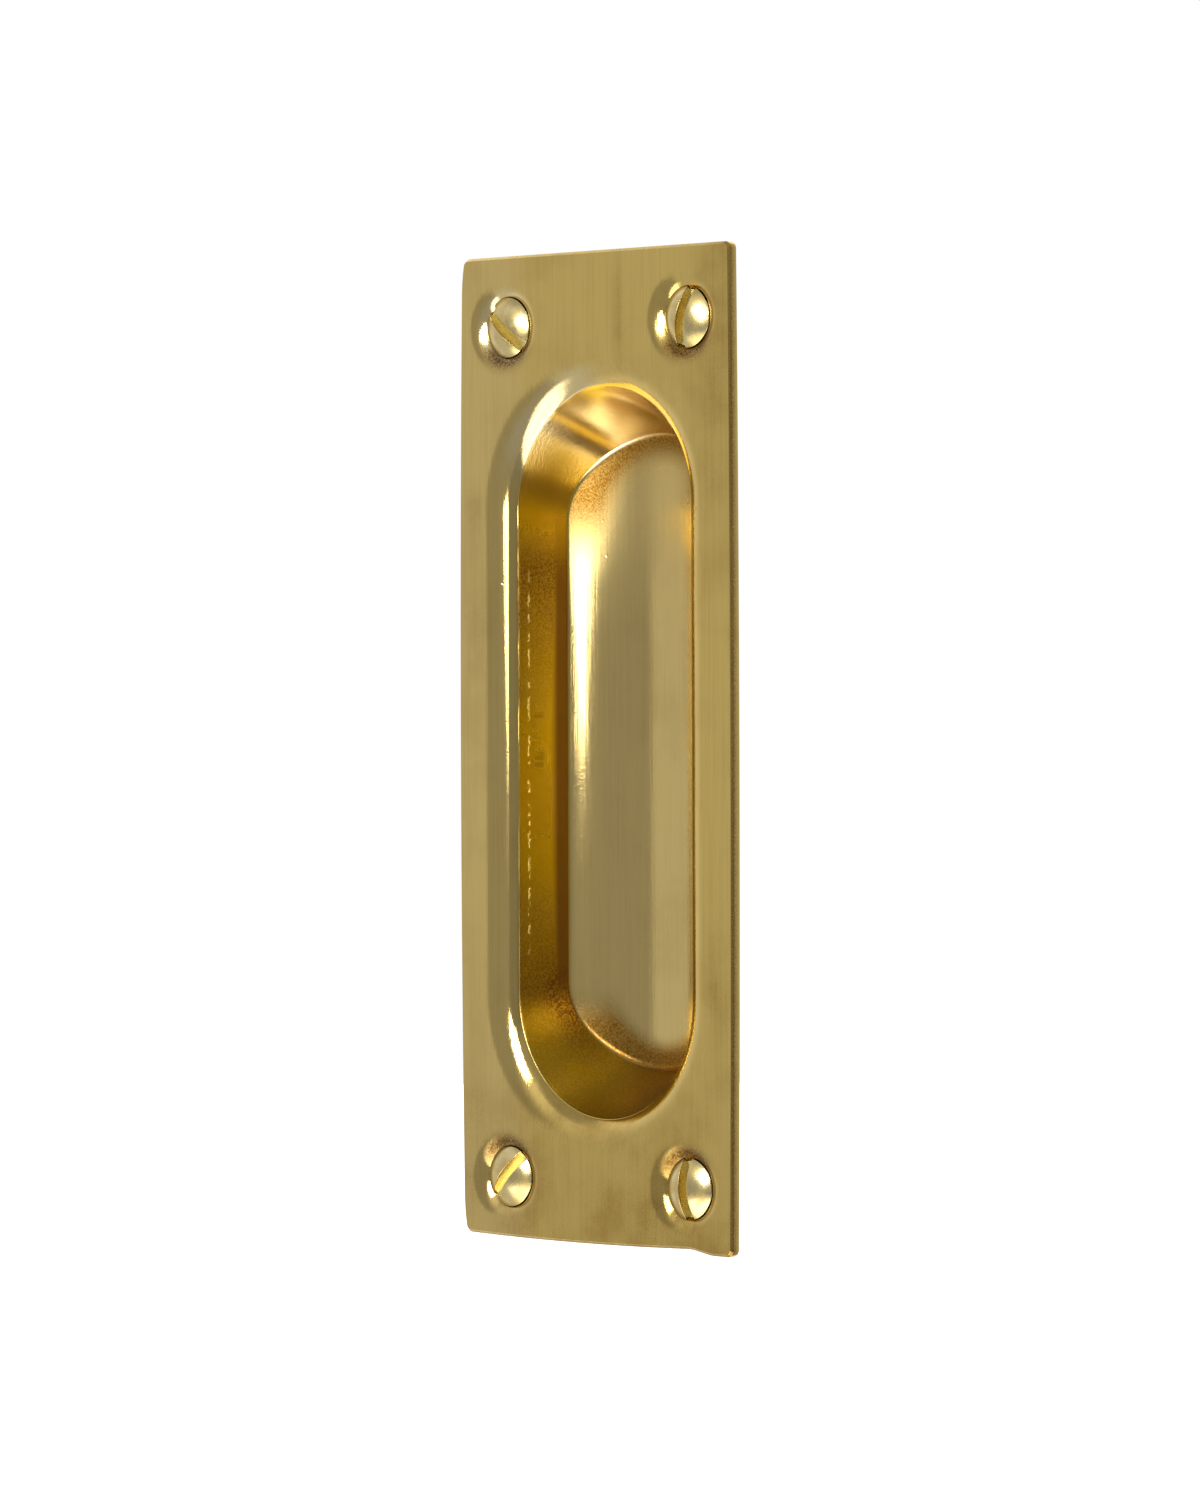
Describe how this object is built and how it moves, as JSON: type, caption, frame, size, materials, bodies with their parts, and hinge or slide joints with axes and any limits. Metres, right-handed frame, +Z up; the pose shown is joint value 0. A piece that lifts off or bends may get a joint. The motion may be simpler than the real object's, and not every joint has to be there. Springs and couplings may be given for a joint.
{
  "type": "pocket door pull",
  "caption": "Flush door pull: oblong drawn brass plate with a deep obround finger pocket, a rolled rim, and slotted oval-head wood screws in dimpled corner seats.",
  "frame": {"origin": "centre of the screw pattern, on the flat back of the plate, which lies on the face of the door", "axes": "+Z up along the plate, +X to the right for someone facing the pull, +Y into the door; the front looks along -Y"},
  "size_m": [0.0444, 0.0136, 0.1146],
  "materials": {
    "plate_brass": "worn, finely brushed, slightly tarnished",
    "screw_brass": "worn, scratched by the driver"
  },
  "bodies": {
    "root": {"pull_plate": "plate_brass", "mounting_screws": "screw_brass"}
  },
  "joints": []
}
